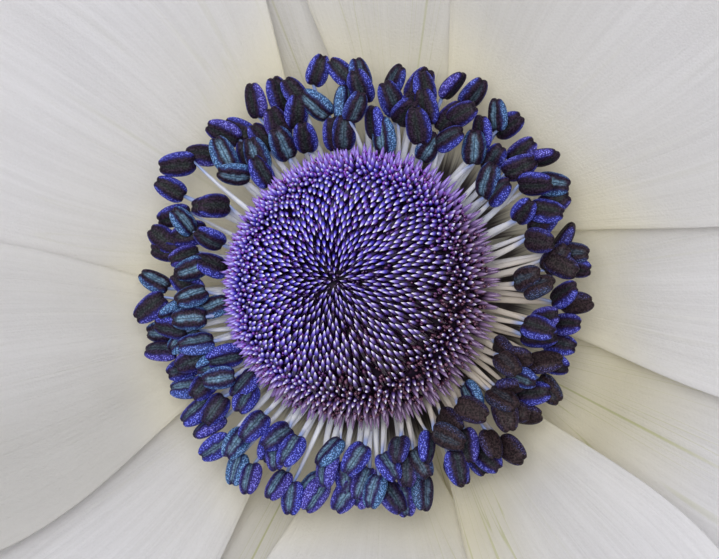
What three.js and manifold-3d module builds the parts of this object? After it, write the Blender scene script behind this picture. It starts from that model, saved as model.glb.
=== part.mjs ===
// An anemone flower, picked with its stem cut close under the bloom and lying face up on its outer tepals.
// Millimetres, +Z up. The origin is on the surface that it lies on, under the middle of the bloom,
// and bearings are degrees anticlockwise from +X, seen from above.
import * as THREE from 'three';
import { mergeVertices } from 'three/addons/utils/BufferGeometryUtils.js';
import Module from 'manifold-3d';

const wasm = await Module();
wasm.setup();

// Driving dimensions: the stem and its receptacle.
const STEM_RADIUS = 2.1;
const STEM_HEIGHT = 1.2;
const STEM_FLARE = 0.5;
const RECEPTACLE_RADIUS = 2.6;
const RECEPTACLE_TOP = 4.9;
const RECEPTACLE_BEVEL = 0.4;
const PEG_RADIUS = 1.8;
const PEG_TOP = 8.0;
const CLEARANCE = 0.3;
const STEM_SIDES = 16;

// Driving dimensions: the tepals, in three tiers that lie one over another.
const CLAW_START = RECEPTACLE_RADIUS + CLEARANCE;
const CLAW_HALF_WIDTH = 0.95;
const BLADE = 0.64;
const TEPAL_SPAN = 35;
const WIDEST_AT = 0.6;
const TIP_SHARE = 0.42;
const TIP_BOW = 1.5;
const CUP_FROM = 0.1;
const CUP_TO = 0.6;
const RIPPLE_HEIGHT = 0.25;
const RIPPLE_RATE = 7;
const RIPPLE_SHIFT = 2.1;
const RIPPLE_FROM = 0.3;
const RIPPLE_TO = 0.7;
const WAVE_HEIGHT = 0.3;
const WAVE_LENGTH = 17;
const WAVE_FROM = 9;
const WAVE_TO = 16;
const DROOP_FROM = 0.5;
const DROOP_TO = 0.85;
const SETTLE = 0.45;
const TIP_LIFT = 2;
const TIP_LIFT_FROM = 0.9;
const TIP_LIFT_TO = 1.05;
const ROWS_ALONG = 9;
const ROWS_ACROSS = 6;
const ROWS_CROWDING = 1.2;

// Driving dimensions: the ring of stamens.
const COLLAR_INNER = PEG_RADIUS + CLEARANCE;
const COLLAR_OUTER = 3.6;
const COLLAR_LOW = RECEPTACLE_TOP + CLEARANCE;
const COLLAR_HIGH = 6.2;
const COLLAR_SIDES = 24;
const ANTHER_LENGTH = 1.95;
const ANTHER_HALF_WIDTH = 0.6;
const ANTHER_HALF_DEPTH = 0.43;
const FILAMENT_HALF_WIDTH = 0.25;
const FILAMENT_HALF_DEPTH = 0.14;
const FILAMENT_TAPER = 0.3;
const FILAMENT_SUNK = 0.4;
const ELBOW_RADIUS = 6.9;
const RADIUS_SPREAD = 0.35;
const HEIGHT_SPREAD = 0.3;
const YAW_SPREAD = 22;
const TILT_SPREAD = 12;
const STEP_SPREAD = 0.35;
const STAMEN_SEED = 20117;
const STAMEN_SIDES = 6;

// Driving dimensions: the head of carpels, a dome covered with styles.
const CORE_RADIUS = 6.1;
const CORE_WIDEST = 9.5;
const CORE_TOP = 13.2;
const CORE_UNDERSIDE = COLLAR_HIGH + 0.4;
const CORE_FLATNESS = 0.9;
const CORE_STEPS = 8;
const CORE_SIDES = 24;
const STYLE_COUNT = 280;
const STYLE_LENGTH = 1.45;
const STYLE_SUNK = 0.4;
const STYLE_RADIUS = 0.5;
const STYLE_SIDES = 3;
const FRINGE_DROP = 0.22;
const GOLDEN_ANGLE = Math.PI * (3 - Math.sqrt(5));

// Points nearer than the first are one point, and joined pieces lose slivers thinner than the second.
const WELD = 0.0001;
const SLIVER = 0.02;

// A repeatable run of numbers between 0 and 1.
function draws(seed) {
  let state = seed;
  return () => {
    state = (state * 16807) % 2147483647;
    return state / 2147483647;
  };
}

function smooth(low, high, value) {
  return THREE.MathUtils.smoothstep(value, low, high);
}

function finish(name, geometry, colour, roughness) {
  geometry.deleteAttribute('normal');
  geometry.deleteAttribute('uv');
  geometry.computeVertexNormals();
  const material = new THREE.MeshStandardMaterial({ color: colour, roughness, metalness: 0 });
  const mesh = new THREE.Mesh(geometry, material);
  mesh.name = name;
  return mesh;
}

// Solids that can be joined, from a closed three.js geometry, and back again.
function toSolid(geometry) {
  geometry.deleteAttribute('normal');
  geometry.deleteAttribute('uv');
  const merged = mergeVertices(geometry, WELD);
  return new wasm.Manifold(new wasm.Mesh({
    numProp: 3,
    vertProperties: new Float32Array(merged.getAttribute('position').array),
    triVerts: new Uint32Array(merged.getIndex().array),
  }));
}

function toGeometry(solid) {
  const mesh = solid.simplify(SLIVER).getMesh();
  const geometry = new THREE.BufferGeometry();
  geometry.setAttribute('position', new THREE.BufferAttribute(mesh.vertProperties, 3));
  geometry.setIndex(new THREE.BufferAttribute(mesh.triVerts, 1));
  return geometry;
}

// The profile of a turned piece, from pairs of radius and height.
function turned(profile, sides) {
  const points = profile.map(([radius, height]) => new THREE.Vector2(radius, height));
  const geometry = new THREE.LatheGeometry(points, sides);
  geometry.rotateX(Math.PI / 2);
  return geometry;
}

// The stem's cut end, the receptacle that the tepals spring from, and the peg inside the head of carpels.
function stem() {
  const geometry = turned([
    [0, 0],
    [STEM_RADIUS, 0],
    [STEM_RADIUS, STEM_HEIGHT],
    [RECEPTACLE_RADIUS, STEM_HEIGHT + STEM_FLARE],
    [RECEPTACLE_RADIUS, RECEPTACLE_TOP - RECEPTACLE_BEVEL],
    [RECEPTACLE_RADIUS - RECEPTACLE_BEVEL, RECEPTACLE_TOP],
    [PEG_RADIUS, RECEPTACLE_TOP],
    [PEG_RADIUS, PEG_TOP - PEG_RADIUS / 3],
    [PEG_RADIUS * 2 / 3, PEG_TOP],
    [0, PEG_TOP],
  ], STEM_SIDES);
  return finish('stem', geometry, 0x8ca35a, 0.6);
}

// Each tier's mid-height rises from the claw and sags again, its edges cup upwards and it follows the
// waves that the tiers share. The outer tier droops to the surface and is pressed flat there.
const TIERS = {
  outer: { start: 2.15, rise: 3.9, sag: 2.2, cup: 0.25, wave: 0.25, droops: true },
  middle: { start: 3.3, rise: 5.3, sag: 3.2, cup: 0.35, wave: 1, droops: false },
  inner: { start: 4.35, rise: 4.5, sag: 0, cup: 0.2, wave: 1, droops: false },
};

function tierHeight({ start, rise, sag, droops }, share) {
  const arch = start + rise * share - sag * share * share;
  if (!droops) return arch;
  const droop = smooth(DROOP_FROM, DROOP_TO, share);
  const lift = TIP_LIFT * smooth(TIP_LIFT_FROM, TIP_LIFT_TO, share);
  return arch * (1 - droop) + (BLADE / 2 - SETTLE) * droop + lift;
}

// Each tepal's bearing, greatest half width, reach and how late it swells out of its claw.
const TEPALS = [
  { tier: 'inner', bearing: 43, halfWidth: 14.4, reach: 37.6, swell: 1.7 },
  { tier: 'inner', bearing: 193.5, halfWidth: 8.6, reach: 38.6, swell: 2.0 },
  { tier: 'inner', bearing: 307.5, halfWidth: 6.5, reach: 36.6, swell: 2.2 },
  { tier: 'middle', bearing: 6, halfWidth: 9.2, reach: 38, swell: 1.7 },
  { tier: 'middle', bearing: 80, halfWidth: 9.8, reach: 38, swell: 1.7 },
  { tier: 'middle', bearing: 147.5, halfWidth: 15, reach: 37, swell: 1.4 },
  { tier: 'middle', bearing: 216, halfWidth: 9, reach: 37.6, swell: 1.7 },
  { tier: 'middle', bearing: 270, halfWidth: 10.2, reach: 38, swell: 1.9 },
  { tier: 'outer', bearing: 111, halfWidth: 9, reach: 37.4, swell: 1.7 },
  { tier: 'outer', bearing: 243, halfWidth: 7.8, reach: 37, swell: 1.7 },
  { tier: 'outer', bearing: 288, halfWidth: 6.8, reach: 37.2, swell: 1.7 },
  { tier: 'outer', bearing: 332.5, halfWidth: 9.4, reach: 37.2, swell: 1.8 },
];

// Half the width of a tepal: a narrow claw, widest six tenths of the way out, with a rounded end.
function halfWidthAt(share, widest, swell) {
  if (share > WIDEST_AT) {
    const past = (share - WIDEST_AT) / (1 - WIDEST_AT);
    return widest * Math.max(TIP_SHARE, Math.sqrt(1 - past * past));
  }
  const grown = Math.sin((Math.PI / 2) * (share / WIDEST_AT)) ** swell;
  return CLAW_HALF_WIDTH + (widest - CLAW_HALF_WIDTH) * grown;
}

// A sheet moved by formula, doubled into an upper and a lower face that are split alike, and closed by a rim.
function tepal({ tier, bearing, halfWidth, reach, swell: swelling }, number, index) {
  const { cup, wave } = TIERS[tier];
  const sheet = new THREE.PlaneGeometry(1, 2, ROWS_ALONG, ROWS_ACROSS);
  const grid = sheet.getAttribute('position');
  const turn = THREE.MathUtils.degToRad(bearing);
  const upper = [];
  const lower = [];
  for (let i = 0; i < grid.count; i += 1) {
    const along = grid.getX(i) + 0.5;
    const across = grid.getY(i);
    const share = 1 - (1 - along) ** ROWS_CROWDING;
    const out = CLAW_START + (reach - CLAW_START) * share - TIP_BOW * across * across * share ** 6;
    const aside = across * halfWidthAt(share, halfWidth, swelling);
    const x = out * Math.cos(turn) - aside * Math.sin(turn);
    const y = out * Math.sin(turn) + aside * Math.cos(turn);
    const bend = cup * across * across * smooth(CUP_FROM, CUP_TO, share);
    const ripple = Math.abs(across) ** 3 * Math.sin(RIPPLE_RATE * share + RIPPLE_SHIFT * index);
    const swell = Math.sin((2 * Math.PI * x) / WAVE_LENGTH + 1) * Math.cos((2 * Math.PI * y) / WAVE_LENGTH);
    const middle = tierHeight(TIERS[tier], (out - CLAW_START) / TEPAL_SPAN) + bend
      + RIPPLE_HEIGHT * ripple * smooth(RIPPLE_FROM, RIPPLE_TO, share)
      + WAVE_HEIGHT * wave * swell * smooth(WAVE_FROM, WAVE_TO, out);
    const under = Math.max(0, middle - BLADE / 2);
    lower.push(x, y, under);
    upper.push(x, y, under + BLADE);
  }
  const faces = Array.from(sheet.getIndex().array);
  const count = grid.count;
  const backs = [];
  for (let i = 0; i < faces.length; i += 3) {
    backs.push(faces[i] + count, faces[i + 2] + count, faces[i + 1] + count);
  }
  const wide = ROWS_ALONG + 1;
  const outline = [];
  for (let i = 0; i < ROWS_ALONG; i += 1) outline.push(ROWS_ACROSS * wide + i);
  for (let i = ROWS_ACROSS; i > 0; i -= 1) outline.push(i * wide + ROWS_ALONG);
  for (let i = ROWS_ALONG; i > 0; i -= 1) outline.push(i);
  for (let i = 0; i < ROWS_ACROSS; i += 1) outline.push(i * wide);
  const rim = outline.flatMap((from, i) => {
    const to = outline[(i + 1) % outline.length];
    return [from + count, to + count, to, from + count, to, from];
  });
  const geometry = new THREE.BufferGeometry();
  geometry.setAttribute('position', new THREE.Float32BufferAttribute([...upper, ...lower], 3));
  geometry.setIndex([...faces, ...backs, ...rim]);
  return finish(`tepal_${tier}_${number}`, geometry, 0xf3f1ea, 0.5);
}

// A closed rod: the rings of a cylinder are moved to the stations, each with a place, a side way,
// an upward way and its half sizes.
function rod(stations, sides) {
  const steps = stations.length - 1;
  const geometry = new THREE.CylinderGeometry(1, 1, steps, sides, steps);
  const points = geometry.getAttribute('position');
  for (let i = 0; i < points.count; i += 1) {
    const station = stations[Math.round(steps / 2 - points.getY(i))];
    const place = station.place.clone();
    place.addScaledVector(station.side, points.getX(i) * station.halfWidth);
    place.addScaledVector(station.up, points.getZ(i) * station.halfDepth);
    points.setXYZ(i, place.x, place.y, place.z);
  }
  return geometry;
}

// The stamens stand in three whorls. Each anther's middle lies at a radius and a height and points
// outwards, tilted up from the level, and its filament springs from the collar at a height of its own.
const WHORLS = [
  { count: 24, radius: 8.5, height: 9.3, tilt: 26, root: 6.0, rise: 7.0 },
  { count: 27, radius: 9.7, height: 8.5, tilt: 18, root: 5.75, rise: 6.7 },
  { count: 30, radius: 10.9, height: 7.6, tilt: 8, root: 5.45, rise: 6.4 },
];

// How far along the filament its rings lie.
const FILAMENT_STATIONS = [0, 0.45, 0.93];

// The anther's share of its length, half width and half depth at each of its rings.
const ANTHER_RINGS = [
  [0.0, 0.55, 0.6],
  [0.3, 1.0, 1.0],
  [0.72, 0.92, 0.95],
  [1.0, 0.35, 0.4],
];

function polar(radius, angle, height) {
  return new THREE.Vector3(radius * Math.cos(angle), radius * Math.sin(angle), height);
}

function stamen(whorl, angle, draw) {
  const spread = (amount) => (draw() - 0.5) * 2 * amount;
  const middle = polar(whorl.radius + spread(RADIUS_SPREAD), angle, whorl.height + spread(HEIGHT_SPREAD));
  const yaw = angle + THREE.MathUtils.degToRad(spread(YAW_SPREAD));
  const tilt = THREE.MathUtils.degToRad(whorl.tilt + spread(TILT_SPREAD));
  const forward = polar(Math.cos(tilt), yaw, Math.sin(tilt));
  const side = polar(1, yaw + Math.PI / 2, 0);
  const up = forward.clone().cross(side);
  const base = middle.clone().addScaledVector(forward, -ANTHER_LENGTH / 2);
  const root = polar(COLLAR_OUTER - FILAMENT_SUNK, angle, whorl.root);
  const elbow = polar(ELBOW_RADIUS, angle, whorl.rise);
  const filament = new THREE.QuadraticBezierCurve3(root, elbow, base);
  const flank = polar(1, angle + Math.PI / 2, 0);
  const stations = FILAMENT_STATIONS.map((share) => ({
    place: filament.getPoint(share),
    side: flank,
    up: filament.getTangent(share).cross(flank),
    halfWidth: FILAMENT_HALF_WIDTH * (1 - FILAMENT_TAPER * share),
    halfDepth: FILAMENT_HALF_DEPTH,
  }));
  for (const [share, width, depth] of ANTHER_RINGS) {
    stations.push({
      place: base.clone().addScaledVector(forward, share * ANTHER_LENGTH),
      side,
      up,
      halfWidth: ANTHER_HALF_WIDTH * width,
      halfDepth: ANTHER_HALF_DEPTH * depth,
    });
  }
  return rod(stations, STAMEN_SIDES);
}

function stamens() {
  const draw = draws(STAMEN_SEED);
  let ring = toSolid(turned([
    [COLLAR_INNER, COLLAR_LOW],
    [COLLAR_OUTER, COLLAR_LOW],
    [COLLAR_OUTER, COLLAR_HIGH],
    [COLLAR_INNER, COLLAR_HIGH],
    [COLLAR_INNER, COLLAR_LOW],
  ], COLLAR_SIDES));
  for (const whorl of WHORLS) {
    const step = (2 * Math.PI) / whorl.count;
    for (let i = 0; i < whorl.count; i += 1) {
      const angle = step * (i + 0.5 + (draw() - 0.5) * STEP_SPREAD);
      ring = ring.add(toSolid(stamen(whorl, angle, draw)));
    }
  }
  return finish('stamens', toGeometry(ring), 0x34337e, 0.7);
}

// Half the section of the dome, from its rim to its top, as an angle from the level and a place.
function domeAt(angle) {
  return [CORE_RADIUS * Math.cos(angle) ** CORE_FLATNESS, CORE_WIDEST + (CORE_TOP - CORE_WIDEST) * Math.sin(angle)];
}

// How far a style leans outwards from the upright, in degrees, at a share of the dome's radius.
const LEANS = { middle: -38, uprightAt: 0.6, splayFrom: 0.55, splayTo: 1.08, rim: 82 };

function leanAt(share) {
  const inwards = LEANS.middle * (1 - Math.min(1, share / LEANS.uprightAt));
  const outwards = LEANS.rim * smooth(LEANS.splayFrom, LEANS.splayTo, share);
  return THREE.MathUtils.degToRad(inwards + outwards);
}

// The styles lie on a spiral that starts at the top of the dome, and the last of them hang below its rim.
function style(number) {
  const share = Math.sqrt((number + 0.35) / STYLE_COUNT);
  const flank = (Math.PI / 2) * (1 - share) ** 0.82 - FRINGE_DROP * share ** 4;
  const [radius, height] = domeAt(Math.max(0, flank));
  const cone = new THREE.ConeGeometry(STYLE_RADIUS, STYLE_LENGTH + STYLE_SUNK, STYLE_SIDES, 1);
  cone.rotateX(Math.PI / 2);
  cone.translate(0, 0, (STYLE_LENGTH - STYLE_SUNK) / 2);
  cone.rotateY(leanAt(radius / CORE_RADIUS));
  cone.translate(radius, 0, height + 4 * Math.min(0, flank));
  cone.rotateZ(number * GOLDEN_ANGLE);
  return cone;
}

function pistilHead() {
  const dome = [];
  for (let i = 0; i <= CORE_STEPS; i += 1) dome.push(domeAt((Math.PI / 2) * (i / CORE_STEPS)));
  dome[dome.length - 1][0] = 0;
  let head = toSolid(turned([
    [0, PEG_TOP + CLEARANCE],
    [COLLAR_INNER, PEG_TOP + CLEARANCE],
    [COLLAR_INNER, CORE_UNDERSIDE],
    [4.2, CORE_UNDERSIDE + 0.2],
    [5.3, CORE_UNDERSIDE + 0.9],
    [5.85, CORE_UNDERSIDE + 1.7],
    ...dome,
  ], CORE_SIDES));
  for (let i = 0; i < STYLE_COUNT; i += 1) head = head.add(toSolid(style(i)));
  return finish('pistil_head', toGeometry(head), 0x5b3fa0, 0.5);
}

const flower = new THREE.Group();
flower.add(stem());
const numbers = { inner: 0, middle: 0, outer: 0 };
TEPALS.forEach((entry, index) => {
  numbers[entry.tier] += 1;
  flower.add(tepal(entry, numbers[entry.tier], index));
});
flower.add(stamens());
flower.add(pistilHead());

export default flower;
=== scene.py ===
import math

import bmesh
import bpy
from mathutils import Matrix, Vector


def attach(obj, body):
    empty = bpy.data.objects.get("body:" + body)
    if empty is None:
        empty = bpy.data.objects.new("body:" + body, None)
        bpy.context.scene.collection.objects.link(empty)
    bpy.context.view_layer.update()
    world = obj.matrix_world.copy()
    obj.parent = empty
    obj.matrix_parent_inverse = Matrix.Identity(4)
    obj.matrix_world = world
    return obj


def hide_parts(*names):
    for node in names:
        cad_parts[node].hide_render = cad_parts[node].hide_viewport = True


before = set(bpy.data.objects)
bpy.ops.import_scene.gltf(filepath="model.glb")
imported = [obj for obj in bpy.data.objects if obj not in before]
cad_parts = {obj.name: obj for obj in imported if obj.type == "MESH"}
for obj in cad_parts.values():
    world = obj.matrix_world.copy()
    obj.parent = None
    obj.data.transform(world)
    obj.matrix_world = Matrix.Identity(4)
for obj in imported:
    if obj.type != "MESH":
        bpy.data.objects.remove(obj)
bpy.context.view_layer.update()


# The camera looks down into the open bloom from 25 cm away, leaning a little to the right and to the
# near side, so that the ring of anthers fills two thirds of the picture's width.
MM = 0.001
PICTURE_WIDTH = 719
PICTURE_HEIGHT = 559
PIXELS_PER_MM = 19.8
RING_MIDDLE_PIXEL = (357, 286)
RING_HEIGHT = 9.6 * MM
LEAN_RIGHT = math.radians(12.7)
LEAN_NEAR = math.radians(3.8)
CAMERA_DISTANCE = 250 * MM
NEAREST_SEEN = 10 * MM
SENSOR_WIDTH = 36

camera_back = Vector((math.tan(LEAN_RIGHT), -math.tan(LEAN_NEAR), 1)).normalized()
camera_right = Vector((0, 1, 0)).cross(camera_back).normalized()
camera_up = camera_back.cross(camera_right)
aside = (RING_MIDDLE_PIXEL[0] - PICTURE_WIDTH / 2) / PIXELS_PER_MM * MM
below = (RING_MIDDLE_PIXEL[1] - PICTURE_HEIGHT / 2) / PIXELS_PER_MM * MM
aim = Vector((0, 0, RING_HEIGHT)) - camera_right * aside + camera_up * below

camera_data = bpy.data.cameras.new("camera")
camera_data.sensor_width = SENSOR_WIDTH
camera_data.lens = CAMERA_DISTANCE / MM * SENSOR_WIDTH * PIXELS_PER_MM / PICTURE_WIDTH
camera_data.clip_start = NEAREST_SEEN
camera = bpy.data.objects.new("camera", camera_data)
camera_turn = Matrix((camera_right, camera_up, camera_back)).transposed()
camera.matrix_world = Matrix.Translation(aim + camera_back * CAMERA_DISTANCE) @ camera_turn.to_4x4()
bpy.context.collection.objects.link(camera)
bpy.context.scene.camera = camera


# A soft lamp hangs almost straight above, a weaker one stands on the upper left, and a pale room
# fills the shadows.
KEY_PLACE = Vector((0.08, 0.03, 0.52))
KEY_SIZE = 0.30
KEY_POWER = 1.67
KEY_COLOUR = (1.0, 0.995, 0.99)
SIDE_PLACE = Vector((-0.35, 0.28, 0.45))
SIDE_SIZE = 0.40
SIDE_POWER = 0.75
SIDE_COLOUR = (0.99, 0.99, 1.0)
ROOM_COLOUR = (0.97, 0.97, 1.0, 1)
ROOM_STRENGTH = 0.53


def lamp(name, place, size, power, colour):
    data = bpy.data.lights.new(name, "AREA")
    data.size = size
    data.energy = power
    data.color = colour
    ob = bpy.data.objects.new(name, data)
    ob.location = place
    ob.rotation_euler = (Vector((0, 0, RING_HEIGHT)) - ob.location).to_track_quat("-Z", "Y").to_euler()
    bpy.context.collection.objects.link(ob)


lamp("key_lamp", KEY_PLACE, KEY_SIZE, KEY_POWER, KEY_COLOUR)
lamp("side_lamp", SIDE_PLACE, SIDE_SIZE, SIDE_POWER, SIDE_COLOUR)

world = bpy.data.worlds.new("pale_room")
world.use_nodes = True
background = world.node_tree.nodes["Background"]
background.inputs["Color"].default_value = ROOM_COLOUR
background.inputs["Strength"].default_value = ROOM_STRENGTH
bpy.context.scene.world = world
bpy.context.scene.view_settings.view_transform = "Standard"


# The table is a plain pale board that the bloom lies on. It isn't part of the bloom, and its top is a
# hair's breadth below the tepals that rest on it.
TABLE_SIZE = 0.9
TABLE_DROP = 0.02 * MM
TABLE_COLOUR = (0.80, 0.79, 0.77, 1)


def node(tree, kind, sockets=None, **settings):
    made = tree.nodes.new("ShaderNode" + kind)
    for name, value in settings.items():
        setattr(made, name, value)
    for name, value in (sockets or {}).items():
        if isinstance(value, bpy.types.NodeSocket):
            tree.links.new(value, made.inputs[name])
        else:
            made.inputs[name].default_value = value
    return made


def new_material(name, sockets):
    material = bpy.data.materials.new(name)
    material.use_nodes = True
    shader = material.node_tree.nodes["Principled BSDF"]
    for socket, value in sockets.items():
        shader.inputs[socket].default_value = value
    return material, material.node_tree, shader


def finished(name, bm, material):
    mesh = bpy.data.meshes.new(name)
    bm.to_mesh(mesh)
    bm.free()
    mesh.materials.append(material)
    for face in mesh.polygons:
        face.use_smooth = True
    ob = bpy.data.objects.new(name, mesh)
    bpy.context.collection.objects.link(ob)
    return ob


table_material = new_material("table", {"Base Color": TABLE_COLOUR, "Roughness": 0.7})[0]
bm = bmesh.new()
bmesh.ops.create_grid(bm, x_segments=1, y_segments=1, size=TABLE_SIZE / 2)
bmesh.ops.translate(bm, verts=bm.verts, vec=(0, 0, -TABLE_DROP))
finished("table", bm, table_material)


# The stem is cut close under the bloom. It is a fleshy green tube with shallow ribs that swells into
# the receptacle, which the tepals, the stamens and the carpels all spring from.
STEM_PROFILE = (
    (0.0, 0.35), (0.75, 0.35), (0.95, 0.12), (1.75, 0.05), (2.02, 0.1), (2.1, 0.3), (2.1, 1.1), (2.3, 1.5),
    (2.58, 1.9), (2.6, 4.5), (2.3, 4.9), (1.8, 5.0), (1.75, 7.2), (1.3, 7.9), (0.0, 8.0),
)
STEM_SIDES = 64
RIBS = 9
RIB_DEPTH = 0.03
RIBS_TOP = 1.6
CUT_TOP = 0.36
CUT_FADE = 0.1
GREEN_DARK = (0.17, 0.27, 0.07)
GREEN_LIGHT = (0.30, 0.40, 0.14)
STEM_STREAK = (0.24, 0.20, 0.13)
CUT_GREEN = (0.55, 0.60, 0.32)


def turned(bm, profile, sides):
    """A profile of radius and height in millimetres, spun round the bloom's axis."""
    points = [bm.verts.new((radius * MM, 0, height * MM)) for radius, height in profile]
    edges = [bm.edges.new(pair) for pair in zip(points, points[1:])]
    bmesh.ops.spin(bm, geom=points + edges, cent=(0, 0, 0), axis=(0, 0, 1), dvec=(0, 0, 0),
                   angle=2 * math.pi, steps=sides, use_merge=True, use_duplicate=False)
    bmesh.ops.remove_doubles(bm, verts=bm.verts, dist=0.0001 * MM)
    bmesh.ops.recalc_face_normals(bm, faces=bm.faces)


def millimetres(tree):
    place = node(tree, "TexCoord").outputs["Object"]
    return node(tree, "Mapping", {"Vector": place, "Scale": (1 / MM, 1 / MM, 1 / MM)}).outputs["Vector"]


def stretched(tree, place, scale):
    return node(tree, "Mapping", {"Vector": place, "Scale": scale}).outputs["Vector"]


def attribute(tree, name):
    return node(tree, "Attribute", attribute_name=name).outputs["Fac"]


def mixed(tree, mask, first, second):
    mix = tree.nodes.new("ShaderNodeMix")
    mix.data_type = "RGBA"
    for socket, value in ((mix.inputs[0], mask), (mix.inputs[6], first), (mix.inputs[7], second)):
        if isinstance(value, bpy.types.NodeSocket):
            tree.links.new(value, socket)
        elif isinstance(value, tuple):
            socket.default_value = (*value, 1)
        else:
            socket.default_value = value
    return mix.outputs[2]


def between(tree, value, low, high, first=0.0, second=1.0):
    return node(tree, "MapRange", {
        "Value": value, "From Min": low, "From Max": high, "To Min": first, "To Max": second,
    }, interpolation_type="SMOOTHSTEP").outputs["Result"]


def maths(tree, operation, first, second=0.0):
    made = node(tree, "Math", operation=operation)
    for socket, value in zip(made.inputs, (first, second)):
        if isinstance(value, bpy.types.NodeSocket):
            tree.links.new(value, socket)
        else:
            socket.default_value = value
    return made.outputs["Value"]


def product(tree, *factors):
    result = factors[0]
    for factor in factors[1:]:
        result = maths(tree, "MULTIPLY", result, factor)
    return result


def total(tree, *terms):
    result = terms[0]
    for term in terms[1:]:
        result = maths(tree, "ADD", result, term)
    return result


def bumped(tree, shader, height, strength, depth):
    bump = node(tree, "Bump", {"Height": height, "Strength": strength, "Distance": depth * MM})
    tree.links.new(bump.outputs["Normal"], shader.inputs["Normal"])


def mottle_group():
    """Soft blotches, which every skin of the bloom has at its own size and strength."""
    group = bpy.data.node_groups.new("mottle", "ShaderNodeTree")
    group.interface.new_socket("Place", in_out="INPUT", socket_type="NodeSocketVector")
    for name in ("Scale", "Detail", "Low", "High"):
        group.interface.new_socket(name, in_out="INPUT", socket_type="NodeSocketFloat")
    group.interface.new_socket("Mask", in_out="OUTPUT", socket_type="NodeSocketFloat")
    given = group.nodes.new("NodeGroupInput").outputs
    noise = node(group, "TexNoise", {
        "Vector": given["Place"], "Scale": given["Scale"], "Detail": given["Detail"],
    })
    mask = between(group, noise.outputs["Fac"], given["Low"], given["High"])
    group.links.new(mask, group.nodes.new("NodeGroupOutput").inputs["Mask"])
    return group


mottle_effect = mottle_group()


def mottle(tree, place, scale, detail, low, high):
    made = node(tree, "Group", {"Place": place, "Scale": scale, "Detail": detail, "Low": low, "High": high},
                node_tree=mottle_effect)
    return made.outputs["Mask"]


stem_material, tree, shader = new_material("stem_flesh", {"Roughness": 0.55, "Coat Weight": 0.05})
place = millimetres(tree)
blotches = mottle(tree, place, 1.6, 5.0, 0.35, 0.65)
streak = mottle(tree, stretched(tree, place, (4, 4, 0.3)), 1.5, 3.0, 0.45, 0.7)
green = mixed(tree, blotches, GREEN_DARK, GREEN_LIGHT)
green = mixed(tree, streak, green, STEM_STREAK)
height = node(tree, "SeparateXYZ", {"Vector": place}).outputs["Z"]
green = mixed(tree, between(tree, height, CUT_TOP, CUT_FADE), green, CUT_GREEN)
tree.links.new(green, shader.inputs["Base Color"])
bumped(tree, shader, streak, 0.5, 0.05)

bm = bmesh.new()
turned(bm, STEM_PROFILE, STEM_SIDES)
for vert in bm.verts:
    rib = 1 + RIB_DEPTH * math.cos(RIBS * math.atan2(vert.co.y, vert.co.x))
    if vert.co.z < RIBS_TOP * MM:
        vert.co.x *= rib
        vert.co.y *= rib
stem = finished("stem_and_receptacle", bm, stem_material)
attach(stem, "root")
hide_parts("stem")


# The tepals are thin satin blades in three tiers, each on a narrow claw that is grown into the receptacle.
# Fine fibres and veins fan out from the claw, the base is cream with a few green lines, and painted shade
# greys some blades, more so towards one side.
CLAW_START = 2.9
CLAW_SUNK = 0.45
CLAW_HALF_WIDTH = 0.95
TEPAL_SPAN = 35
WIDEST_AT = 0.6
ROWS_CLOSER_OUTSIDE = 1.2
TIP_BOW = 1.0
TIP_FROM = 6
TIP_WAVER = 0.22
TIP_WAVER_FROM = 10
EDGE_RIPPLE = 0.25
WAVE_HEIGHT = 0.3
WAVE_LENGTH = 17
WAVE_TURN = 6.28
WAVE_FROM = 9
WAVE_FULL = 16
KEEL_DEPTH = 0.10
KEEL_WIDTH = 0.12
PLEAT_DEPTH = 0.05
PLEATS = 16
BLADE_CENTRE = 0.32
BLADE_THICKNESS = 0.26
EDGE_FROM = 0.93
EDGE_SHARE = 0.45
ROWS_ALONG = 40
ROWS_ACROSS = 26
RESTING_CENTRE = 0.15
SIDE_FROM = -0.2
SIDE_TO = 0.9
VEIN_LIGHT = (0.905, 0.907, 0.938)
VEIN_DARK = (0.835, 0.835, 0.860)
FIBRE_WHITE = (0.97, 0.97, 1.0)
FOLD_PAINTED_SHADE = (0.795, 0.792, 0.815)
CELL_WHITE = (0.96, 0.96, 1.0)
SHADED_GREY = (0.700, 0.692, 0.672)
CREAM_AND_WARM_SHADE = (0.84, 0.795, 0.60)
BASE_CREAM_AND_PAINTED_LIGHT = (0.97, 0.94, 0.815)
GREEN_LINE = (0.60, 0.62, 0.30)
CLAW_PAINTED_SHADOW = (0.09, 0.072, 0.080)
GLOW_CREAM = (0.95, 0.87, 0.70)
LIGHT_THROUGH = 0.55


def smooth(low, high, value):
    share = min(1.0, max(0.0, (value - low) / (high - low)))
    return share * share * (3 - 2 * share)


def outer_height(share):
    arch = 2.3 + 3.9 * share - 2.2 * share * share
    droop = smooth(0.5, 0.85, share)
    return arch * (1 - droop) + (BLADE_CENTRE - 0.45) * droop + 2 * smooth(0.9, 1.05, share)


def middle_height(share):
    return 3.3 + 5.3 * share - 3.2 * share * share


def inner_height(share):
    return 4.2 + 4.5 * share


# each tier's rise along the blade, the lift of its sides, and its share of the waves
TIERS = {
    "outer": (outer_height, 0.25, 0.25),
    "middle": (middle_height, 0.35, 1.0),
    "inner": (inner_height, 0.2, 1.0),
}
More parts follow.
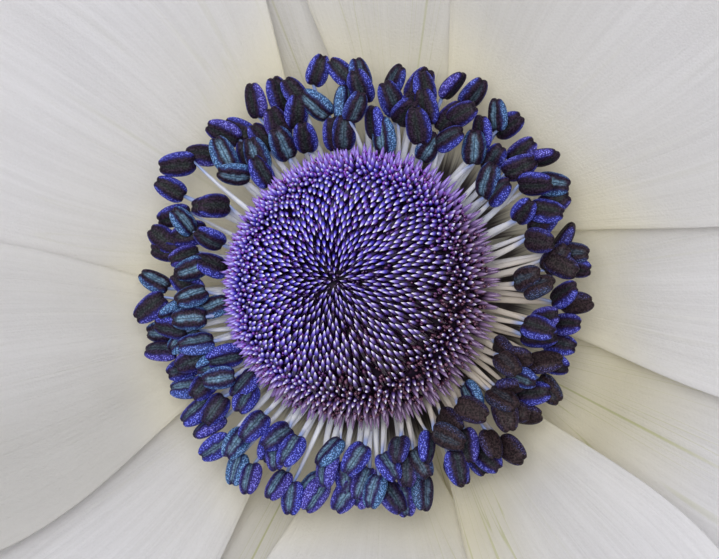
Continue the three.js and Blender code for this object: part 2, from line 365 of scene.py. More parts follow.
# name, bearing, half width, reach, swell, and the cream (partly painted warm shade) and the painted grey
# shade, each even and towards one side
TEPALS = (
    ("tepal_inner_1", 43, 14.4, 37.6, 1.7, (0.15, 0.0), (0.20, 0.45)),
    ("tepal_inner_2", 193.5, 8.6, 38.6, 2.0, (0.1, 0.0), (0.50, 0.95)),
    ("tepal_inner_3", 307, 6.5, 36.6, 1.7, (0.1, -0.8), (0.0, 0.0)),
    ("tepal_middle_1", 6, 9.2, 38, 1.7, (0.15, 0.3), (0.0, 1.0)),
    ("tepal_middle_2", 80, 9.8, 38, 1.7, (0.35, 0.0), (0.25, 0.0)),
    ("tepal_middle_3", 147.5, 15.0, 37, 1.4, (0.2, 0.0), (0.0, 0.25)),
    ("tepal_middle_4", 216, 9, 37.6, 1.7, (0.15, 0.0), (0.0, -1.0)),
    ("tepal_middle_5", 270, 10.2, 38, 1.9, (0.1, 0.3), (0.0, 0.0)),
    ("tepal_outer_1", 111, 9, 37.4, 1.7, (0.3, 0.0), (0.2, 0.3)),
    ("tepal_outer_2", 243, 7.8, 37, 1.7, (0.55, 0.0), (0.2, 0.0)),
    ("tepal_outer_3", 288, 6.8, 37.2, 1.7, (0.9, 0.0), (0.2, 0.0)),
    ("tepal_outer_4", 332.5, 9.4, 37.2, 1.8, (1.0, 0.0), (0.0, 0.3)),
)


def tinted(tint, across):
    """A tint that is even over the blade, and one that grows towards one of its sides."""
    even, sided = tint
    return min(1.0, even + abs(sided) * smooth(SIDE_FROM, SIDE_TO, math.copysign(across, sided * across)))


def half_width(share, widest, swell):
    if share > WIDEST_AT:
        past = (share - WIDEST_AT) / (1 - WIDEST_AT)
        return widest * math.sqrt(1 - past * past)
    grown_share = math.sin(math.pi / 2 * max(0.0, share) / WIDEST_AT) ** swell
    return CLAW_HALF_WIDTH + (widest - CLAW_HALF_WIDTH) * grown_share


def tepal_point(along, across, number, tier, bearing, widest, reach, swell):
    """A point of a blade in millimetres, from its share of the length and of the half width."""
    height, cup, wave = TIERS[tier]
    share = 1 - (1 - along) ** ROWS_CLOSER_OUTSIDE
    start = CLAW_START - CLAW_SUNK
    row_end = start + (reach - start) * share - TIP_BOW * share ** TIP_FROM
    aside = across * half_width((row_end - CLAW_START) / (reach - CLAW_START), widest, swell)
    out = row_end + TIP_BOW * (1 - across * across) * share ** TIP_FROM
    out += TIP_WAVER * math.sin(3 * across + 1.7 * number) * share ** TIP_WAVER_FROM
    turn = math.radians(bearing)
    x = out * math.cos(turn) - aside * math.sin(turn)
    y = out * math.sin(turn) + aside * math.cos(turn)
    bend = cup * across * across * smooth(0.1, 0.6, share)
    ripple = EDGE_RIPPLE * abs(across) ** 3 * math.sin(7 * share + 2.1 * number) * smooth(0.3, 0.7, share)
    roll = WAVE_HEIGHT * wave * math.sin(x / WAVE_LENGTH * WAVE_TURN + 1)
    roll *= math.cos(y / WAVE_LENGTH * WAVE_TURN)
    wave_lift = roll * smooth(WAVE_FROM, WAVE_FULL, out)
    middle = height((out - CLAW_START) / TEPAL_SPAN) + bend + ripple + wave_lift
    keel = KEEL_DEPTH * math.exp(-(across / KEEL_WIDTH) ** 2) * smooth(1.0, 0.3, share)
    pleat = PLEAT_DEPTH * math.cos(across * PLEATS + number) * smooth(1.0, 0.4, share)
    pleat *= smooth(0.05, 0.3, share)
    return Vector((x, y, max(RESTING_CENTRE, middle - keel + pleat)))


petal_material, tree, shader = new_material("tepal_satin", {
    "Roughness": 0.5,
    "Specular IOR Level": 0.35,
    "Sheen Weight": 0.08,
    "Sheen Roughness": 0.4,
})
place = millimetres(tree)
on_blade = node(tree, "UVMap", uv_map="blade").outputs["UV"]
split = node(tree, "SeparateXYZ", {"Vector": on_blade})
along = split.outputs["X"]
across = split.outputs["Y"]
cream_and_shade_share = attribute(tree, "cream_and_shade")
veins = mottle(tree, stretched(tree, on_blade, (2.2, 46, 1)), 1.0, 4.0, 0.32, 0.70)
folds = mottle(tree, stretched(tree, on_blade, (1.2, 13, 1)), 1.0, 2.0, 0.38, 0.72)
fibres = mottle(tree, stretched(tree, on_blade, (5, 150, 1)), 1.0, 2.0, 0.38, 0.66)
cells = mottle(tree, place, 8.0, 3.0, 0.35, 0.68)
shade_patches = mottle(tree, place, 0.22, 1.0, 0.20, 0.55)
white = mixed(tree, veins, VEIN_LIGHT, VEIN_DARK)
white = mixed(tree, product(tree, fibres, 0.30), white, FIBRE_WHITE)
# Each fold is a bump and also takes painted shade, a grey along the fold.
white = mixed(tree, product(tree, folds, 0.32), white, FOLD_PAINTED_SHADE)
white = mixed(tree, product(tree, cells, 0.22), white, CELL_WHITE)
# Painted shade: some blades are greyed in soft patches, evenly or more so towards one side.
painted_shade = product(tree, attribute(tree, "painted_shade"), between(tree, shade_patches, 0.0, 1.0, 0.62, 0.74))
white = mixed(tree, painted_shade, white, SHADED_GREY)
# Cream towards the base: partly the tepals' own cream and partly painted warm shade, chiefly on the sides
# that lie beside a neighbouring blade or in the anthers' shadow.
cream_and_shade = product(tree, cream_and_shade_share, between(tree, along, 0.46, 0.17))
white = mixed(tree, cream_and_shade, white, CREAM_AND_WARM_SHADE)
# Next to the claws the blade is cream, partly its own colour and partly painted light that offsets the shadow
# of the anthers above it.
white = mixed(tree, between(tree, along, 0.295, 0.19), white, BASE_CREAM_AND_PAINTED_LIGHT)
thread_place = stretched(tree, on_blade, (1.1, 19, 1))
thread_noise = node(tree, "TexNoise", {"Vector": thread_place, "Scale": 1.0, "Detail": 1.0}).outputs["Fac"]
from_thread = maths(tree, "ABSOLUTE", maths(tree, "SUBTRACT", thread_noise, 0.5))
threads = product(tree, between(tree, from_thread, 0.011, 0.0), between(tree, along, 0.54, 0.30, 0.0, 0.55))
from_middle = maths(tree, "ABSOLUTE", maths(tree, "SUBTRACT", across, 0.5))
midrib = product(tree, between(tree, from_middle, 0.008, 0.001), between(tree, along, 0.50, 0.30, 0.0, 0.8))
green_lines = product(tree, maths(tree, "MAXIMUM", midrib, threads),
                      between(tree, cream_and_shade_share, 0.1, 0.6, 0.04, 1.0))
white = mixed(tree, green_lines, white, GREEN_LINE)
level = stretched(tree, place, (1, 1, 0))
outwards = node(tree, "VectorMath", {0: level}, operation="LENGTH").outputs["Value"]
# Painted shadow: the claws under the filaments are dark, standing in for the deep shade between them, with a
# ragged edge along the veins.
painted_gap_shadow = total(tree, outwards, product(tree, veins, 0.7))
white = mixed(tree, between(tree, painted_gap_shadow, 8.8, 7.2), white, CLAW_PAINTED_SHADOW)
tree.links.new(white, shader.inputs["Base Color"])
relief = total(tree, product(tree, veins, 0.5), product(tree, folds, 0.4), product(tree, cells, 0.30),
               product(tree, fibres, 0.12))
bumped(tree, shader, relief, 0.75, 0.09)
glow = node(tree, "BsdfTranslucent", {"Color": mixed(tree, 0.15, white, GLOW_CREAM)})
through = node(tree, "MixShader", {0: LIGHT_THROUGH, 1: shader.outputs["BSDF"], 2: glow.outputs["BSDF"]})
tree.links.new(through.outputs["Shader"], tree.nodes["Material Output"].inputs["Surface"])

for number, (name, bearing, widest, reach, swell, cream_and_shade_tint, painted_shading) in enumerate(TEPALS):
    tier = name.split("_")[1]
    bm = bmesh.new()
    bmesh.ops.create_grid(bm, x_segments=ROWS_ALONG, y_segments=ROWS_ACROSS, size=1)
    uv = bm.loops.layers.uv.new("blade")
    creams_and_shades = bm.verts.layers.float.new("cream_and_shade")
    painted_shades = bm.verts.layers.float.new("painted_shade")
    for face in bm.faces:
        for loop in face.loops:
            loop[uv].uv = ((loop.vert.co.x + 1) / 2, (loop.vert.co.y + 1) / 2)
    edge = [vert.index for vert in bm.verts if abs(vert.co.y) > EDGE_FROM or vert.co.x > EDGE_FROM]
    for vert in bm.verts:
        vert[creams_and_shades] = tinted(cream_and_shade_tint, vert.co.y)
        vert[painted_shades] = tinted(painted_shading, vert.co.y)
        point = tepal_point((vert.co.x + 1) / 2, vert.co.y, number, tier, bearing, widest, reach, swell)
        vert.co = point * MM
    blade = finished(name + "_blade", bm, petal_material)
    thick = blade.vertex_groups.new(name="thick")
    thick.add([vert.index for vert in blade.data.vertices], 1.0, "REPLACE")
    thick.add(edge, EDGE_SHARE, "REPLACE")
    shell = blade.modifiers.new("thickness", "SOLIDIFY")
    shell.thickness = BLADE_THICKNESS * MM
    shell.offset = 0
    shell.vertex_group = "thick"
    soft = blade.modifiers.new("soft", "SUBSURF")
    soft.levels = 1
    soft.render_levels = 1
    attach(blade, "root")
    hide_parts(name)


# The stamens stand in three crowded whorls round the head, with a few strays that lean out of them or
# press against the head. Each is a flat white filament that springs from under the head, and on it a
# two-lobed anther with a groove down its face and blue pollen along its edges.
COLLAR_PROFILE = (
    (2.1, 5.2), (3.3, 5.2), (3.55, 5.4), (3.6, 5.8), (3.4, 6.1), (3.1, 6.2), (2.1, 6.2), (2.1, 5.2),
)
COLLAR_SIDES = 48
ROOT_RADIUS = 3.2
ELBOW_RADIUS = 6.9
ELBOW_LIFT = 0.25
ANTHER_LENGTH = 2.0
ANTHER_HALF_WIDTH = 0.62
ANTHER_HALF_DEPTH = 0.42
ANTHER_SIDES = 20
ANTHER_RINGS = 13
ANTHER_BLUNTNESS = 2.5
ANTHER_TAPER = 0.13
GROOVE_DEPTH = 0.32
GROOVE_WIDTH = 0.30
NOTCH_DEPTH = 0.16
NOTCH_WIDTH = 0.25
FILAMENT_HALF_WIDTH = 0.145
FILAMENT_HALF_DEPTH = 0.06
FILAMENT_SIDES = 8
FILAMENT_STEPS = 10
FILAMENT_SUNK = 0.15
WHORLS = (
    {"count": 41, "radius": 8.75, "height": 9.3, "tilt": 26,
     "root": 6.0, "rise": 7.3, "crowding": 0.4, "pallor": 0.5},
    {"count": 54, "radius": 9.8, "height": 8.5, "tilt": 18,
     "root": 5.75, "rise": 7.0, "crowding": 0.15, "pallor": 1.0},
    {"count": 58, "radius": 10.9, "height": 7.6, "tilt": 8,
     "root": 5.45, "rise": 6.7, "crowding": -0.1, "pallor": 1.0},
)
CROWDED_BEARING = math.radians(150)
SHADED_BEARING = math.radians(-30)
# radius, bearing and height of each stray's anther, then its heading, tilt and roll
STRAY_STAMENS = (
    (11.7, 146.5, 8.3, 187, 5, -20), (11.3, 250.5, 7.9, 264, 5, 10), (11.2, 226, 8.0, 212, 0, -15),
    (8.1, -24, 8.7, -42, 30, 40), (8.0, -44, 8.6, -55, 20, 30), (8.3, -56, 8.9, -35, 35, 10),
    (9.3, -33, 8.7, 10, 10, 60),
    (7.9, 171, 8.9, 158, 20, 30), (7.8, 187, 8.8, 201, 14, 15), (7.9, 206, 8.9, 194, 20, -30),
    (7.8, 219, 8.8, 232, 16, 20), (7.9, 131, 8.9, 116, 20, 30), (7.9, 96, 9.0, 82, 22, 15),
    (7.8, 81, 8.8, 93, 18, -20), (7.9, 63, 8.9, 52, 20, 25),
)
LONG_FROM = 10.5
CLEARED_ANGLE = math.radians(2.6)
MOSTLY_LEVEL = 0.8
LEVEL_ROLL = 38
FREE_ROLL = 85
STAMEN_SEED = 20117
FACE_DARK = (0.007, 0.004, 0.009)
FACE_LIGHT = (0.036, 0.019, 0.043)
LIT_FACE_DARK = (0.018, 0.014, 0.075)
LIT_FACE_LIGHT = (0.060, 0.050, 0.25)
OLIVE_DARK = (0.012, 0.013, 0.014)
OLIVE_LIGHT = (0.042, 0.053, 0.052)
STEEL_DARK = (0.10, 0.20, 0.33)
STEEL_LIGHT = (0.27, 0.46, 0.64)
GROOVE_BLACK = (0.010, 0.014, 0.018)
ROYAL_BLUE = (0.115, 0.145, 0.92)
ROYAL_VIOLET = (0.185, 0.160, 0.84)
AZURE = (0.17, 0.42, 0.82)
RIM_DARK = (0.018, 0.014, 0.125)
PIT_BLUE = (0.010, 0.006, 0.055)
PEBBLE_GLINT_BLUE = (0.56, 0.60, 1.0)
SHADE_BROWN_DARK = (0.012, 0.007, 0.008)
SHADE_BROWN_LIGHT = (0.050, 0.031, 0.032)
SHADE_PEBBLE_GLINT = (0.20, 0.20, 0.46)
FILAMENT_COOL = (0.85, 0.875, 1.0)
FILAMENT_WHITE = (0.94, 0.955, 1.0)
FILAMENT_SHADE_TAN = (0.80, 0.70, 0.58)
FILAMENT_BLUE = (0.30, 0.40, 0.76)
FILAMENT_ROOT = (0.20, 0.15, 0.20)
FILAMENT_THROUGH = 0.18


def draws(seed):
    state = seed
    while True:
        state = state * 16807 % 2147483647
        yield state / 2147483647


def polar(radius, angle, height):
    return Vector((radius * math.cos(angle), radius * math.sin(angle), height))


def with_layers(names):
    bm = bmesh.new()
    for name in names:
        bm.verts.layers.float.new(name)
    return bm


def template(name, bm):
    mesh = bpy.data.meshes.new(name)
    bm.to_mesh(mesh)
    bm.free()
    return mesh


def cut_in_steps(bm, steps):
    rails = [edge for edge in bm.edges if abs(edge.verts[0].co.z - edge.verts[1].co.z) > 0.5]
    bmesh.ops.subdivide_edges(bm, edges=rails, cuts=steps - 1)


def anther_template():
    bm = bmesh.new()
    bmesh.ops.create_uvsphere(bm, u_segments=ANTHER_SIDES, v_segments=ANTHER_RINGS, radius=1)
    along = bm.verts.layers.float.new("along")
    across = bm.verts.layers.float.new("across")
    bm.verts.layers.float.new("tone")
    bm.verts.layers.float.new("shade")
    for vert in bm.verts:
        reach = vert.co.z
        ring = math.hypot(vert.co.x, vert.co.y)
        width = vert.co.x / ring if ring > 1e-6 else 0.0
        depth = vert.co.y / ring if ring > 1e-6 else 0.0
        full = (1 - abs(reach) ** ANTHER_BLUNTNESS) ** 0.5 * (1 - ANTHER_TAPER * reach)
        groove = 1 - GROOVE_DEPTH * math.exp(-(width / GROOVE_WIDTH) ** 2)
        notch = NOTCH_DEPTH * math.exp(-(width * ring / NOTCH_WIDTH) ** 2)
        vert[along] = (reach + 1) / 2
        vert[across] = width * min(1.0, ring * 1.6)
        vert.co = Vector((
            reach - notch * max(0.0, reach) ** 4 + notch * max(0.0, -reach) ** 6,
            full * width,
            full * depth * groove,
        ))
    return template("anther_template", bm)


def filament_template():
    bm = bmesh.new()
    bmesh.ops.create_cone(bm, cap_ends=True, segments=FILAMENT_SIDES, radius1=1, radius2=1, depth=1)
    along = bm.verts.layers.float.new("along")
    bm.verts.layers.float.new("shade")
    cut_in_steps(bm, FILAMENT_STEPS)
    for vert in bm.verts:
        vert[along] = vert.co.z + 0.5
    return template("filament_template", bm)


def grown(bm, template_mesh):
    """The vertices that one more copy of the template adds."""
    before = len(bm.verts)
    bm.from_mesh(template_mesh)
    bm.verts.ensure_lookup_table()
    return bm.verts[before:]


anthers_bm = with_layers(("along", "across", "tone", "shade"))
filaments_bm = with_layers(("along", "shade"))
anther_mesh = anther_template()
filament_mesh = filament_template()
draw = draws(STAMEN_SEED)


def spread(amount):
    return (next(draw) - 0.5) * 2 * amount


def stamen(whorl, middle, angle, yaw, tilt, roll):
    """One anther about its middle, and the filament that bends up to it from the collar."""
    size = 1 + spread(0.08)
    bow = spread(0.10)
    tone = next(draw) * whorl["pallor"]
    shade = smooth(0.5, 0.95, math.cos(angle - SHADED_BEARING))
    forward = polar(math.cos(tilt), yaw, math.sin(tilt))
    level = polar(1, yaw + math.pi / 2, 0)
    lift = forward.cross(level)
    side = level * math.cos(roll) + lift * math.sin(roll)
    up = forward.cross(side)
    tones = anthers_bm.verts.layers.float["tone"]
    shades = anthers_bm.verts.layers.float["shade"]
    for vert in grown(anthers_bm, anther_mesh):
        reach, width, depth = vert.co
        point = middle + forward * reach * ANTHER_LENGTH * size / 2
        point += side * width * ANTHER_HALF_WIDTH * size
        point += up * (depth * ANTHER_HALF_DEPTH + bow * reach * reach) * size
        vert.co = point * MM
        vert[tones] = tone
        vert[shades] = shade
    root = polar(ROOT_RADIUS, angle, whorl["root"])
    elbow = polar(ELBOW_RADIUS + spread(0.3), angle + math.radians(spread(3)),
                  whorl["rise"] + ELBOW_LIFT + 0.3 * next(draw))
    end = middle - forward * (ANTHER_LENGTH * size / 2 - FILAMENT_SUNK)
    wide = FILAMENT_HALF_WIDTH * (1 + spread(0.25))
    flank = polar(1, angle + math.pi / 2, 0)
    along = filaments_bm.verts.layers.float["along"]
    shades = filaments_bm.verts.layers.float["shade"]
    for vert in grown(filaments_bm, filament_mesh):
        share = vert[along]
        path = root * (1 - share) ** 2 + elbow * 2 * share * (1 - share) + end * share ** 2
        heading = ((elbow - root) * (1 - share) + (end - elbow) * share).normalized()
        taper = 1.15 - 0.55 * share ** 3
        across = flank * (1 - share ** 4) + side * share ** 4
        point = path + across * vert.co.x * wide * taper
        point += heading.cross(across) * vert.co.y * FILAMENT_HALF_DEPTH * (1 + 0.8 * share ** 4)
        vert.co = point * MM
        vert[shades] = shade


def beside_a_long_one(angle):
    for radius, bearing, *_ in STRAY_STAMENS:
        apart = math.remainder(angle - math.radians(bearing), 2 * math.pi)
        if radius > LONG_FROM and abs(apart) < CLEARED_ANGLE:
            return True
    return False


for whorl in WHORLS:
    step = 2 * math.pi / whorl["count"]
    for place_number in range(whorl["count"]):
        angle = step * (place_number + 0.5 + spread(0.4))
        if beside_a_long_one(angle):
            continue
        crowded = whorl["crowding"] * math.cos(angle - CROWDED_BEARING)
        middle = polar(whorl["radius"] - crowded + spread(0.55), angle, whorl["height"] + spread(0.5))
        roll = LEVEL_ROLL if next(draw) < MOSTLY_LEVEL else FREE_ROLL
        stamen(whorl, middle, angle, angle + math.radians(spread(38)),
               math.radians(whorl["tilt"] + spread(18)), math.radians(spread(roll)))
for radius, bearing, height, yaw, tilt, roll in STRAY_STAMENS:
    angle = math.radians(bearing)
    stamen(WHORLS[0], polar(radius, angle, height), angle, math.radians(yaw), math.radians(tilt),
           math.radians(roll))

anther_material, tree, shader = new_material("anther_skin", {
    "Roughness": 0.42,
    "Specular IOR Level": 0.13,
})
place = millimetres(tree)
along = attribute(tree, "along")
side = attribute(tree, "across")
across = maths(tree, "ABSOLUTE", side)
tone = attribute(tree, "tone")
shade = attribute(tree, "shade")
chance = maths(tree, "FRACT", product(tree, tone, 13.7))
on_lobe = node(tree, "CombineXYZ", {"X": along, "Y": side, "Z": tone}).outputs["Vector"]
ridges = mottle(tree, stretched(tree, on_lobe, (20, 6, 60)), 1.0, 1.0, 0.42, 0.60)
cloud = mottle(tree, place, 2.6, 3.0, 0.30, 0.70)
speck = mottle(tree, place, 10.5, 2.0, 0.38, 0.66)
grain = node(tree, "TexVoronoi", {"Vector": place, "Scale": 12.0}).outputs["Distance"]
pebble_glints = between(tree, grain, 0.34, 0.14)
lit = between(tree, node(tree, "SeparateXYZ", {"Vector": place}).outputs["Y"], 0.0, -12.0)
lit = product(tree, lit, maths(tree, "SUBTRACT", 1.0, shade), between(tree, chance, 0.0, 0.4, 0.35, 1.0))
face = mixed(tree, speck, FACE_DARK, FACE_LIGHT)
face = mixed(tree, product(tree, lit, 0.5), face, mixed(tree, speck, LIT_FACE_DARK, LIT_FACE_LIGHT))
centre = total(tree, across, product(tree, cloud, 0.18))
band = product(tree, between(tree, centre, 0.50, 0.06), between(tree, along, 0.98, 0.72),
               between(tree, along, 0.03, 0.25))
band_light = total(tree, product(tree, lit, 0.85), between(tree, tone, 0.31, 0.12, 0.0, 0.85))
band_light = maths(tree, "MINIMUM", band_light, 1.0)
olive = mixed(tree, speck, OLIVE_DARK, OLIVE_LIGHT)
steel = mixed(tree, speck, STEEL_DARK, STEEL_LIGHT)
face = mixed(tree, band, face, mixed(tree, band_light, olive, steel))
face = mixed(tree, between(tree, across, 0.09, 0.03, 0.0, 0.65), face, GROOVE_BLACK)
royal = mixed(tree, between(tree, tone, 0.50, 0.95), ROYAL_BLUE, ROYAL_VIOLET)
royal = mixed(tree, between(tree, tone, 0.28, 0.12), royal, AZURE)
dusting = total(tree, between(tree, chance, 0.40, 1.0, -0.07, 0.18), product(tree, lit, 0.27))
edge = total(tree, across, product(tree, maths(tree, "SUBTRACT", cloud, 0.5), 0.12), dusting)
blue = mixed(tree, between(tree, edge, 0.60, 1.02), RIM_DARK, royal)
blue = mixed(tree, between(tree, grain, 0.24, 0.62, 0.0, 0.80), blue, PIT_BLUE)
# Painted glints: the tops of the pollen pebbles on the rims are pale lavender-blue.
rim_glints = product(tree, pebble_glints, between(tree, edge, 0.66, 1.02, 0.0, 0.80))
blue = mixed(tree, rim_glints, blue, PEBBLE_GLINT_BLUE)
rim = between(tree, edge, 0.50, 0.80)
body = mixed(tree, rim, face, blue)
# Painted shade: in the shaded sector most anthers are a dark brown copy of themselves, with painted blue
# glints on the pebbles of their rims.
shaded_brown = mixed(tree, speck, SHADE_BROWN_DARK, SHADE_BROWN_LIGHT)
shaded_brown = mixed(tree, product(tree, rim, pebble_glints, 0.7), shaded_brown, SHADE_PEBBLE_GLINT)
body = mixed(tree, product(tree, shade, between(tree, chance, 0.66, 0.58, 0.10, 0.86)), body, shaded_brown)
tree.links.new(body, shader.inputs["Base Color"])
relief = total(tree, product(tree, ridges, rim, 0.4), between(tree, grain, 0.5, 0.0, 0.0, 0.6))
bumped(tree, shader, relief, 0.9, 0.035)
anthers = finished("anthers", anthers_bm, anther_material)
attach(anthers, "root")
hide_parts("stamens")

filament_material, tree, shader = new_material("filament_flesh", {
    "Roughness": 0.35,
    "Specular IOR Level": 0.5,
})
along = attribute(tree, "along")
shade = attribute(tree, "shade")
streaks = mottle(tree, millimetres(tree), 3.0, 3.0, 0.35, 0.65)
pale = mixed(tree, streaks, FILAMENT_COOL, FILAMENT_WHITE)
# Painted shade: filaments in the shaded sector turn tan.
pale = mixed(tree, product(tree, shade, 0.85), pale, FILAMENT_SHADE_TAN)
pale = mixed(tree, between(tree, along, 0.80, 0.99), pale, FILAMENT_BLUE)
pale = mixed(tree, between(tree, along, 0.26, 0.10), pale, FILAMENT_ROOT)
tree.links.new(pale, shader.inputs["Base Color"])
bumped(tree, shader, streaks, 0.3, 0.02)
glow = node(tree, "BsdfTranslucent", {"Color": pale})
through = node(tree, "MixShader", {0: FILAMENT_THROUGH, 1: shader.outputs["BSDF"], 2: glow.outputs["BSDF"]})
tree.links.new(through.outputs["Shader"], tree.nodes["Material Output"].inputs["Surface"])
filaments = finished("filaments", filaments_bm, filament_material)
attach(filaments, "root")
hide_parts("stamens")

bm = bmesh.new()
turned(bm, COLLAR_PROFILE, COLLAR_SIDES)
bm.verts.layers.float.new("along")
bm.verts.layers.float.new("shade")
collar = finished("stamen_collar", bm, filament_material)
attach(collar, "root")
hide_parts("stamens")


# The carpels are packed on a dark domed core. Their glossy styles cover it: the ones near the top
# lean in to the middle, the ones half way out stand up and the outer ones splay into a pale fringe.
# Short violet hairs fill the gaps between them. The lower right side of the head is painted in darker
# wine-red shade, the feet of the styles and hairs are painted shade, and the style tips carry painted white
# highlights.
CORE_PROFILE_LOW = ((0.0, 8.3), (2.1, 8.3), (2.1, 6.6), (4.2, 6.8), (5.3, 7.5), (5.9, 8.4))
CORE_RADIUS = 6.1
CORE_WIDEST = 9.5
CORE_TOP = 13.05
CORE_FULLNESS = 0.9
CORE_STEPS = 12
CORE_SIDES = 48
HEAD_RADIUS = 7.1
HEAD_RIM = 9.4
HEAD_RISE = 4.95
HEAD_FLATNESS = 0.55
DIMPLE_DEPTH = 0.3
DIMPLE_SHARE = 0.05
STYLE_COUNT = 1480
STYLE_PACKING = 0.545
STYLE_LENGTH = 1.2
STYLE_RADIUS = 0.15
STYLE_WIDEST = 0.55
STYLE_SIDES = 6
STYLE_STEPS = 6
FRINGE_COUNT = 230
FRINGE_FROM = 0.86
FRINGE_LEAN = 80
FRINGE_DROOP = 14
HAIR_COUNT = 3000
HAIR_PACKING = 0.53
HAIR_REACH = 0.985
HAIR_TURN = 1.07
HAIR_LENGTH = 0.55
HAIR_RADIUS = 0.12
HAIR_DEPTH = 0.26
HAIR_SIDES = 4
HAIR_STEPS = 3
THIN_BEARING = math.radians(-35)
THINNING = 0.30
GOLDEN_ANGLE = math.pi * (3 - math.sqrt(5))
LEANS = ((0.0, -30), (0.1, -44), (0.45, -40), (0.68, -24), (0.81, 8), (0.91, 46), (1.0, 78))
HEAD_SEED = 4242
VIOLET_COOL = (0.060, 0.050, 0.74)
VIOLET_WARM = (0.175, 0.075, 0.70)
VIOLET_SHADED_SIDE = (0.090, 0.048, 0.25)
GAP_SHADE_VIOLET = (0.010, 0.004, 0.045)
GAP_SHADE_SHADED_SIDE = (0.014, 0.004, 0.014)
HIGHLIGHT_LAVENDER = (0.46, 0.42, 1.0)
HIGHLIGHT_LAVENDER_SHADED_SIDE = (0.54, 0.45, 0.86)
TIP_HIGHLIGHT_WHITE = (0.98, 0.96, 1.0)
ORCHID = (0.34, 0.21, 0.78)
ORCHID_SHADED_SIDE = (0.25, 0.15, 0.30)
FUZZ = (0.29, 0.072, 0.66)
FUZZ_SHADED_SIDE = (0.115, 0.033, 0.070)
FUZZ_BRIGHT = (0.32, 0.10, 0.42)
FUZZ_BRIGHT_SHADED_SIDE = (0.19, 0.075, 0.14)
CORE_LIGHT = (0.055, 0.015, 0.06)
CORE_DARK = (0.012, 0.004, 0.02)


def lean_at(share):
    for (low, first), (high, second) in zip(LEANS, LEANS[1:]):
        if share <= high:
            return math.radians(first + (second - first) * (share - low) / (high - low))
    return math.radians(LEANS[-1][1])


def style_template(sides, steps):
    bm = bmesh.new()
    bmesh.ops.create_cone(bm, cap_ends=False, segments=sides, radius1=1, radius2=1, depth=1)
    along = bm.verts.layers.float.new("along")
    for layer in ("tone", "fringe", "hair"):
        bm.verts.layers.float.new(layer)
    cut_in_steps(bm, steps)
    for vert in bm.verts:
        share = vert.co.z + 0.5
        vert[along] = share
        girth = 0.6 + 0.4 * smooth(0.0, STYLE_WIDEST, share)
        girth *= (1 - max(0.0, share - STYLE_WIDEST) / 0.45) ** 0.9
        vert.co.x *= girth
        vert.co.y *= girth
        vert.co.z = share
    bmesh.ops.remove_doubles(bm, verts=bm.verts, dist=0.001)
    return template("style_template", bm)


def grow_style(template_mesh, tip, angle, lean, length, girth, fringe, hair, bend):
    """One style or hair, set back from the place of its tip."""
    outward = polar(1, angle, 0)
    level = polar(1, angle + math.pi / 2, 0)
    axis = outward * math.sin(lean) + Vector((0, 0, math.cos(lean)))
    front = level.cross(axis)
    root = tip - axis * length
    tone = next(draw)
    tones = styles_bm.verts.layers.float["tone"]
    fringes = styles_bm.verts.layers.float["fringe"]
    hairs = styles_bm.verts.layers.float["hair"]
    for vert in grown(styles_bm, template_mesh):
        share = vert.co.z
        curve = bend * (share * share - share)
        point = root + axis * length * share + front * (vert.co.x * girth + curve) + level * vert.co.y * girth
        vert.co = point * MM
        vert[tones] = tone
        vert[fringes] = fringe
        vert[hairs] = hair


def dome_tip(share, angle, sunk):
    height = HEAD_RIM + HEAD_RISE * max(0.0, 1 - share * share) ** HEAD_FLATNESS
    height -= DIMPLE_DEPTH * math.exp(-(share / DIMPLE_SHARE) ** 2)
    return polar((HEAD_RADIUS - 0.35 * sunk) * share, angle, height - sunk)


styles_bm = with_layers(("along", "tone", "fringe", "hair"))
style_mesh = style_template(STYLE_SIDES, STYLE_STEPS)
hair_mesh = style_template(HAIR_SIDES, HAIR_STEPS)
draw = draws(HEAD_SEED)
for number in range(STYLE_COUNT):
    share = ((number + 0.6) / (STYLE_COUNT + 0.6)) ** STYLE_PACKING
    angle = number * GOLDEN_ANGLE + spread(0.012) / max(share, 0.15)
    thinned = smooth(0.0, 0.9, share * math.cos(angle - THIN_BEARING)) * (1 - smooth(0.84, 0.9, share))
    if next(draw) < THINNING * thinned:
        continue
    girth = STYLE_RADIUS * (1 + spread(0.12)) * (0.66 + 0.34 * smooth(0.03, 0.55, share))
    girth *= 1 - 0.14 * thinned
    grow_style(style_mesh, dome_tip(share, angle, 0.12 * next(draw)), angle,
               lean_at(share) + math.radians(spread(9)), STYLE_LENGTH * (1 + spread(0.08)), girth,
               smooth(FRINGE_FROM, 1.0, share), 0.0, spread(0.07))
for number in range(HAIR_COUNT):
    share = ((number + 0.5) / HAIR_COUNT) ** HAIR_PACKING * HAIR_REACH
    angle = number * GOLDEN_ANGLE * HAIR_TURN + spread(0.2)
    grow_style(hair_mesh, dome_tip(share, angle, HAIR_DEPTH + 0.25 * next(draw)), angle,
               lean_at(share) * 0.6 + math.radians(spread(45)), HAIR_LENGTH,
               HAIR_RADIUS * (1 + spread(0.25)), 0.0, 1.0, 0.0)
for number in range(FRINGE_COUNT):
    angle = number * 2 * math.pi / FRINGE_COUNT + spread(0.025)
    drop = next(draw)
    tip = polar(HEAD_RADIUS * (1.005 + 0.035 * next(draw)), angle, HEAD_RIM - 0.05 - 0.7 * drop)
    grow_style(style_mesh, tip, angle, math.radians(FRINGE_LEAN + FRINGE_DROOP * drop),
               STYLE_LENGTH * (1.1 + 0.2 * next(draw)), STYLE_RADIUS * 0.8, 1.0, 0.0, 0.12)

style_material, tree, shader = new_material("style_gloss", {
    "Roughness": 0.25,
    "Specular IOR Level": 0.5,
    "Coat Weight": 0.2,
    "Coat Roughness": 0.12,
})
place = millimetres(tree)
along = attribute(tree, "along")
tone = attribute(tree, "tone")
fringe = attribute(tree, "fringe")
hair = attribute(tree, "hair")
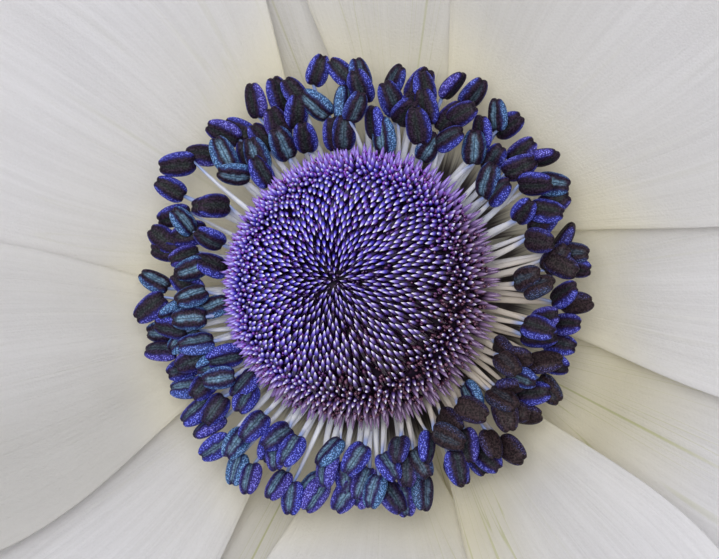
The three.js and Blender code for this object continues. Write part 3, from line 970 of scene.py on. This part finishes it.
# Painted shade: the lower right side of the head, with a blotchy edge, takes darker wine-red copies of every
# colour.
shaded_side_patch = mottle(tree, place, 0.35, 2.0, 0.25, 0.75)
spot = node(tree, "SeparateXYZ", {"Vector": place})
towards_shade = maths(tree, "SUBTRACT", spot.outputs["X"], spot.outputs["Y"])
shaded_side = between(tree, total(tree, towards_shade, product(tree, shaded_side_patch, 4.0)), -2.0, 9.0)
lit_side = maths(tree, "SUBTRACT", 1.0, shaded_side)
level = stretched(tree, place, (1, 1, 0))
outwards = node(tree, "VectorMath", {0: level}, operation="LENGTH").outputs["Value"]
violet = mixed(tree, tone, VIOLET_COOL, VIOLET_WARM)
violet = mixed(tree, shaded_side, violet, VIOLET_SHADED_SIDE)
gap_shade = mixed(tree, shaded_side, GAP_SHADE_VIOLET, GAP_SHADE_SHADED_SIDE)
highlight_lavender = mixed(tree, shaded_side, HIGHLIGHT_LAVENDER, HIGHLIGHT_LAVENDER_SHADED_SIDE)
# Painted light along each style: its foot is dark, standing in for the shade between the styles, and its tip
# turns lavender, then white, as a painted highlight, less so near the middle and on the outer styles of the
# lit side.
body = mixed(tree, between(tree, along, 0.54, 0.74), gap_shade, violet)
body = mixed(tree, between(tree, along, 0.70, 0.86), body, highlight_lavender)
muted_highlight = product(tree, between(tree, outwards, 4.2, 6.0, 0.0, 0.6), lit_side)
tip_highlight = product(tree, between(tree, along, 0.82, 0.94), between(tree, outwards, 0.6, 3.2, 0.40, 1.0),
                    maths(tree, "SUBTRACT", 1.0, muted_highlight))
body = mixed(tree, tip_highlight, body, TIP_HIGHLIGHT_WHITE)
orchid = mixed(tree, shaded_side, ORCHID, ORCHID_SHADED_SIDE)
body = mixed(tree, product(tree, fringe, between(tree, along, 0.25, 0.6, 0.0, 0.93)), body, orchid)
fuzz = mixed(tree, shaded_side, FUZZ, FUZZ_SHADED_SIDE)
bright_fuzz = mixed(tree, shaded_side, FUZZ_BRIGHT, FUZZ_BRIGHT_SHADED_SIDE)
fuzz = mixed(tree, between(tree, tone, 0.60, 0.9), fuzz, bright_fuzz)
# Painted shade: each hair is dark at its foot and near the middle of the head, and lighter towards its tip
# and outwards.
fuzz_light = product(tree, between(tree, along, 0.45, 0.9), between(tree, outwards, 1.6, 4.0, 0.15, 1.0))
fuzz = mixed(tree, fuzz_light, gap_shade, fuzz)
body = mixed(tree, hair, body, fuzz)
tree.links.new(body, shader.inputs["Base Color"])
styles = finished("styles", styles_bm, style_material)
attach(styles, "root")
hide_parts("pistil_head")

core_material, tree, shader = new_material("core_flesh", {"Roughness": 0.6})
pits = node(tree, "TexVoronoi", {"Vector": millimetres(tree), "Scale": 3.0}).outputs["Distance"]
flesh = mixed(tree, between(tree, pits, 0.1, 0.5), CORE_LIGHT, CORE_DARK)
tree.links.new(flesh, shader.inputs["Base Color"])
bumped(tree, shader, pits, 0.6, 0.1)
dome = []
for step in range(CORE_STEPS):
    rise = math.pi / 2 * step / CORE_STEPS
    dome.append((CORE_RADIUS * math.cos(rise) ** CORE_FULLNESS,
                 CORE_WIDEST + (CORE_TOP - CORE_WIDEST) * math.sin(rise)))
dome.append((0.0, CORE_TOP))
bm = bmesh.new()
turned(bm, CORE_PROFILE_LOW + tuple(dome), CORE_SIDES)
core = finished("carpel_core", bm, core_material)
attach(core, "root")
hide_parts("pistil_head")
